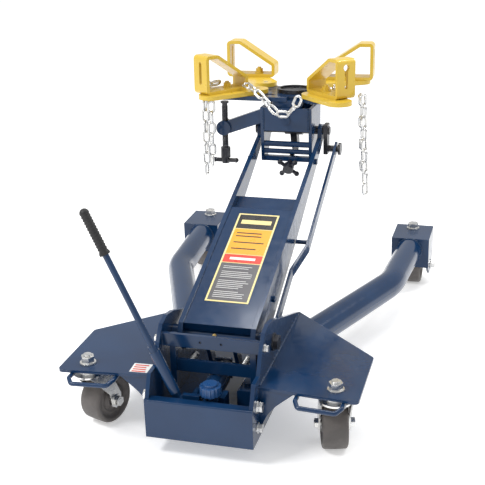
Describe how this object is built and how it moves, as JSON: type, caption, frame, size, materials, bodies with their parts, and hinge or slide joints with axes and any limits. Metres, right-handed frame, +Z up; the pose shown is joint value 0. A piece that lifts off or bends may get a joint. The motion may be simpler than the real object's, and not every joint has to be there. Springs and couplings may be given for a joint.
{
  "type": "transmission jack",
  "caption": "Low-lift hydraulic jack on casters: outrigger base, parallelogram arm and a tilting saddle with four chained brackets.",
  "frame": {"origin": "on the floor, under the middle of the overall bounding box", "axes": "+Z up, +Y from the pump end towards the fixed wheels, +X to the right seen from the pump end"},
  "size_m": [0.69, 1.0178, 0.6429],
  "materials": {
    "blue_paint": "gloss navy enamel",
    "yellow_paint": "gloss yellow enamel",
    "zinc": "bright zinc plate",
    "dark_steel": "oiled black steel",
    "chrome": "hard chrome",
    "brass": "satin",
    "wheel": "matte, slightly scuffed",
    "grip": "matte",
    "label": "satin film",
    "knob_black": "semi-gloss"
  },
  "bodies": {
    "base": {"side_plate_left": "blue_paint", "side_plate_right": "blue_paint", "end_plate": "blue_paint", "floor_plate": "blue_paint", "cross_bar": "blue_paint", "bay_frame": "blue_paint", "wing_plate_left": "blue_paint", "wing_plate_right": "blue_paint", "wing_gussets": "blue_paint", "loop_handles": "blue_paint", "leg_tube_left": "blue_paint", "leg_tube_right": "blue_paint", "far_bracket_left": "blue_paint", "far_bracket_right": "blue_paint", "pump_block": "blue_paint", "cylinder": "blue_paint", "return_springs": "zinc", "main_shaft": "dark_steel", "base_fasteners": "zinc", "far_axles": "zinc"},
    "caster_left": {"caster_fork_left": "zinc"},
    "caster_right": {"caster_fork_right": "zinc"},
    "caster_wheel_left": {"caster_wheel_left": "wheel"},
    "caster_wheel_right": {"caster_wheel_right": "wheel"},
    "fixed_wheel_left": {"fixed_wheel_left": "wheel"},
    "fixed_wheel_right": {"fixed_wheel_right": "wheel"},
    "arm": {"arm_rail_left": "blue_paint", "arm_rail_right": "blue_paint", "arm_tubes": "blue_paint", "cover_plates": "blue_paint", "lift_lever": "blue_paint", "label_plate": "label", "grease_fitting": "brass"},
    "link": {"level_link": "blue_paint"},
    "leveller": {"head_shaft": "dark_steel"},
    "head": {"head_yoke": "blue_paint", "yoke_bars": "blue_paint"},
    "side_screw": {"side_screw": "dark_steel"},
    "side_tee": {"side_tee": "dark_steel"},
    "star_knob": {"star_knob": "knob_black"},
    "saddle": {"saddle_arms": "blue_paint", "saddle_ring": "dark_steel", "pad_pins": "zinc", "front_chain": "zinc"},
    "handle": {"handle_socket": "blue_paint", "handle_rod": "blue_paint", "handle_grip": "grip"},
    "plunger": {"plunger": "dark_steel"},
    "release_knob": {"release_knob": "blue_paint"},
    "ram": {"ram": "chrome"},
    "bracket_front_left": {"pad_front_left": "yellow_paint", "upright_front_left": "yellow_paint", "left_chain": "zinc"},
    "bracket_front_right": {"pad_front_right": "yellow_paint", "upright_front_right": "yellow_paint", "right_chain": "zinc"},
    "bracket_rear_left": {"pad_rear_left": "yellow_paint", "upright_rear_left": "yellow_paint"},
    "bracket_rear_right": {"pad_rear_right": "yellow_paint", "upright_rear_right": "yellow_paint"}
  },
  "joints": [
    {"name": "caster_swivel_left", "type": "hinge", "parent": "base", "child": "caster_left", "pos_m": [-0.2514, -0.4369, 0.1], "axis": [0, 0, 1], "continuous": true},
    {"name": "caster_roll_left", "type": "hinge", "parent": "caster_left", "child": "caster_wheel_left", "pos_m": [-0.23738, -0.39837, 0.0508], "axis": [0.9397, -0.342, 0], "continuous": true},
    {"name": "fixed_roll_left", "type": "hinge", "parent": "base", "child": "fixed_wheel_left", "pos_m": [-0.285, 0.4581, 0.0508], "axis": [1, 0, 0], "continuous": true},
    {"name": "caster_swivel_right", "type": "hinge", "parent": "base", "child": "caster_right", "pos_m": [0.2514, -0.4369, 0.1], "axis": [0, 0, 1], "continuous": true},
    {"name": "caster_roll_right", "type": "hinge", "parent": "caster_right", "child": "caster_wheel_right", "pos_m": [0.2401, -0.39749, 0.0508], "axis": [0.9613, 0.2756, 0], "continuous": true},
    {"name": "fixed_roll_right", "type": "hinge", "parent": "base", "child": "fixed_wheel_right", "pos_m": [0.285, 0.4581, 0.0508], "axis": [1, 0, 0], "continuous": true},
    {"name": "arm_lift", "type": "hinge", "parent": "base", "child": "arm", "pos_m": [0, -0.3439, 0.185], "axis": [1, 0, 0], "range_deg": [-20, 32]},
    {"name": "link_swing", "type": "hinge", "parent": "base", "child": "link", "pos_m": [0, -0.3439, 0.14], "axis": [1, 0, 0], "range_deg": [-20, 32]},
    {"name": "head_level", "type": "hinge", "parent": "arm", "child": "leveller", "pos_m": [0, 0.2831, 0.45], "axis": [1, 0, 0], "range_deg": [-32, 20]},
    {"name": "ram_stroke", "type": "slide", "parent": "base", "child": "ram", "axis": [0, 1, 0], "range_m": [-0.024, 0.038]},
    {"name": "fore_aft_tilt", "type": "hinge", "parent": "leveller", "child": "head", "pos_m": [0, 0.2831, 0.45], "axis": [1, 0, 0], "range_deg": [-12, 8]},
    {"name": "side_tilt", "type": "hinge", "parent": "head", "child": "saddle", "pos_m": [0, 0.28454, 0.48297], "axis": [0, 0.999, -0.0436], "range_deg": [-7, 7]},
    {"name": "side_screw_travel", "type": "slide", "parent": "head", "child": "side_screw", "axis": [0, 0.0436, 0.999], "range_m": [-0.0195, 0.0195]},
    {"name": "side_tee_turn", "type": "hinge", "parent": "side_screw", "child": "side_tee", "pos_m": [-0.158, 0.24378, 0.37464], "axis": [0, 0.0436, 0.999], "range_deg": [-180, 180]},
    {"name": "star_knob_turn", "type": "hinge", "parent": "head", "child": "star_knob", "pos_m": [0.008, 0.21558, 0.37087], "axis": [0, 0.887, 0.4617], "range_deg": [-180, 180]},
    {"name": "bracket_swing_front_left", "type": "hinge", "parent": "saddle", "child": "bracket_front_left", "pos_m": [-0.08519, 0.29663, 0.52548], "axis": [0, 0.0436, 0.999], "range_deg": [-8, 8]},
    {"name": "bracket_swing_front_right", "type": "hinge", "parent": "saddle", "child": "bracket_front_right", "pos_m": [0.06088, 0.2529, 0.52739], "axis": [0, 0.0436, 0.999], "range_deg": [-8, 8]},
    {"name": "bracket_swing_rear_left", "type": "hinge", "parent": "saddle", "child": "bracket_rear_left", "pos_m": [-0.08899, 0.38668, 0.52155], "axis": [0, 0.0436, 0.999], "range_deg": [-8, 8]},
    {"name": "bracket_swing_rear_right", "type": "hinge", "parent": "saddle", "child": "bracket_rear_right", "pos_m": [0.03788, 0.40399, 0.52079], "axis": [0, 0.0436, 0.999], "range_deg": [-8, 8]},
    {"name": "handle_pump", "type": "hinge", "parent": "base", "child": "handle", "pos_m": [-0.048, -0.4729, 0.104], "axis": [0, 1, 0], "range_deg": [0, 26]},
    {"name": "plunger_stroke", "type": "slide", "parent": "base", "child": "plunger", "axis": [0, 0, 1], "range_m": [-0.0206, 0]},
    {"name": "release_turn", "type": "hinge", "parent": "base", "child": "release_knob", "pos_m": [0.014, -0.4669, 0.132], "axis": [0, 0, 1], "range_deg": [-30, 330]}
  ],
  "couplings": [
    {"joint": "link_swing", "follows": "arm_lift", "ratio": 1},
    {"joint": "head_level", "follows": "arm_lift", "ratio": -1},
    {"joint": "ram_stroke", "follows": "arm_lift", "m_per_rad": 0.0659},
    {"joint": "plunger_stroke", "follows": "handle_pump", "m_per_rad": -0.045},
    {"joint": "side_screw_travel", "follows": "side_tilt", "m_per_rad": 0.158}
  ]
}
